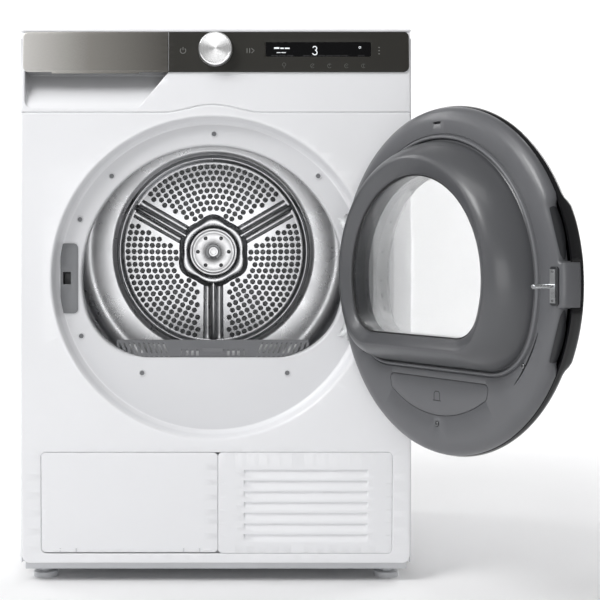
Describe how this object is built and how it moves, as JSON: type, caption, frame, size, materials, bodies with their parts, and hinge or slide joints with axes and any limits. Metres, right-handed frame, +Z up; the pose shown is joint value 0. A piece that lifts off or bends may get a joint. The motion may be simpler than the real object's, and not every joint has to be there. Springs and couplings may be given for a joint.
{
  "type": "tumble dryer",
  "caption": "Front-loading clothes dryer with a round side-hinged door standing open, perforated drum, rotary control, water drawer, lint filter and lower service flap.",
  "frame": {"origin": "centre of the cabinet's footprint, on the floor under the feet", "axes": "+X to the right seen from the front, +Y towards the back, +Z up"},
  "size_m": [0.7565, 1.035, 0.85],
  "materials": {
    "white_enamel": "gloss enamel",
    "white_plastic": "gloss",
    "light_plastic": "matt",
    "galvanised": "galvanised",
    "drum_steel": "bright stainless",
    "dark_fascia": "dark, slightly glossy",
    "black_gloss": "deep gloss",
    "display_glass": "smoked gloss",
    "drawer_silver": "brushed silver lacquer",
    "grey_plastic": "satin",
    "filter_grey": "satin",
    "latch_grey": "satin",
    "knob_metal": "turned and lacquered",
    "clear_glass": "clear",
    "window_glass": "clear with a dark rim",
    "tank_plastic": "translucent, matt",
    "black_rubber": "matt",
    "grey_rubber": "matt",
    "felt": "felt",
    "board_green": "solder mask",
    "motor_grey": "painted",
    "compressor_black": "gloss black",
    "fin_aluminium": "bright",
    "copper_pipe": "bright copper",
    "zinc_steel": "zinc plated",
    "black_plastic": "matt",
    "axle_steel": "bright"
  },
  "bodies": {
    "cabinet": {"base_pan": "light_plastic", "left_side_panel": "white_enamel", "right_side_panel": "white_enamel", "top_panel": "white_enamel", "rear_panel": "galvanised", "rear_duct_cover": "galvanised", "front_panel": "white_enamel", "console_frame": "white_plastic", "control_fascia": "dark_fascia", "display_window": "display_glass", "control_board": "board_green", "tank_housing": "light_plastic", "front_bulkhead": "galvanised", "filter_housing": "filter_grey", "front_felt_seal": "felt", "drum_bearing": "black_plastic", "motor_housing": "motor_grey", "fan_housing": "light_plastic", "compressor": "compressor_black", "exchanger_housing": "light_plastic", "evaporator": "fin_aluminium", "condenser": "fin_aluminium", "refrigerant_pipes": "copper_pipe", "condensate_pump": "black_plastic", "vent_grille": "white_plastic", "latch_plate": "latch_grey", "hinge_brackets": "zinc_steel", "cabinet_screws": "zinc_steel", "drain_spigot": "black_plastic", "power_gland": "black_rubber", "drive_belt": "black_rubber", "levelling_feet": "light_plastic", "tensioner_spring": "axle_steel"},
    "door": {"door_inner_panel": "grey_plastic", "door_bowl": "grey_plastic", "door_glass": "clear_glass", "door_outer_shell": "black_gloss", "door_window": "window_glass", "door_seal": "grey_rubber", "door_lid": "grey_plastic", "door_striker": "zinc_steel", "hinge_arms": "zinc_steel", "door_screws": "zinc_steel"},
    "knob": {"control_knob": "knob_metal"},
    "water_drawer": {"drawer_front": "drawer_silver", "water_tank": "tank_plastic"},
    "drum": {"drum_shell": "drum_steel", "drum_rear_wall": "drum_steel", "drum_hub": "axle_steel", "drum_lifters": "light_plastic", "hub_bolts": "zinc_steel"},
    "left_roller": {"drum_roller_left": "black_rubber"},
    "right_roller": {"drum_roller_right": "black_rubber"},
    "rotor": {"motor_rotor": "axle_steel", "fan_wheel": "light_plastic"},
    "tensioner": {"tensioner_arm": "zinc_steel"},
    "idler": {"idler_pulley": "light_plastic"},
    "filter": {"lint_filter": "filter_grey"},
    "service_flap": {"access_cover": "white_plastic"},
    "latch": {"latch_hook": "black_plastic"}
  },
  "joints": [
    {"name": "door_hinge", "type": "hinge", "parent": "cabinet", "child": "door", "pos_m": [0.216, -0.317, 0.469], "axis": [0, 0, 1], "range_deg": [-120, 6]},
    {"name": "knob_turn", "type": "hinge", "parent": "cabinet", "child": "knob", "pos_m": [-0.001, -0.31, 0.818], "axis": [0, -1, 0], "continuous": true},
    {"name": "water_drawer_slide", "type": "slide", "parent": "cabinet", "child": "water_drawer", "axis": [0, -1, 0], "range_m": [0, 0.38]},
    {"name": "drum_spin", "type": "hinge", "parent": "cabinet", "child": "drum", "pos_m": [-0.005, 0, 0.506], "axis": [0, 1, 0], "continuous": true},
    {"name": "left_roller_spin", "type": "hinge", "parent": "cabinet", "child": "left_roller", "pos_m": [-0.16589, -0.231, 0.25826], "axis": [0, 1, 0], "continuous": true},
    {"name": "right_roller_spin", "type": "hinge", "parent": "cabinet", "child": "right_roller", "pos_m": [0.15589, -0.231, 0.25826], "axis": [0, 1, 0], "continuous": true},
    {"name": "rotor_spin", "type": "hinge", "parent": "cabinet", "child": "rotor", "pos_m": [0.19, 0.1, 0.135], "axis": [0, 1, 0], "continuous": true},
    {"name": "tensioner_swing", "type": "hinge", "parent": "cabinet", "child": "tensioner", "pos_m": [0.12, 0.0575, 0.15], "axis": [0, 1, 0], "range_deg": [0, 10], "stiffness_Nm_per_rad": 1.2, "springref_deg": -22.92, "deforming": ["tensioner_spring"]},
    {"name": "idler_spin", "type": "hinge", "parent": "tensioner", "child": "idler", "pos_m": [0.06, 0.072, 0.185], "axis": [0, 1, 0], "continuous": true},
    {"name": "filter_lift", "type": "slide", "parent": "cabinet", "child": "filter", "axis": [0, 0, 1], "range_m": [0, 0.15]},
    {"name": "service_flap_hinge", "type": "hinge", "parent": "cabinet", "child": "service_flap", "pos_m": [-0.13, -0.299, 0.051], "axis": [1, 0, 0], "range_deg": [0, 90]},
    {"name": "latch_swing", "type": "hinge", "parent": "cabinet", "child": "latch", "pos_m": [-0.2305, -0.262, 0.49], "axis": [1, 0, 0], "range_deg": [-10, 10], "stiffness_Nm_per_rad": 0.05}
  ],
  "couplings": [
    {"joint": "left_roller_spin", "follows": "drum_spin", "ratio": -10.8},
    {"joint": "right_roller_spin", "follows": "drum_spin", "ratio": -10.8},
    {"joint": "rotor_spin", "follows": "drum_spin", "ratio": 22.5},
    {"joint": "idler_spin", "follows": "drum_spin", "ratio": 13.5}
  ]
}
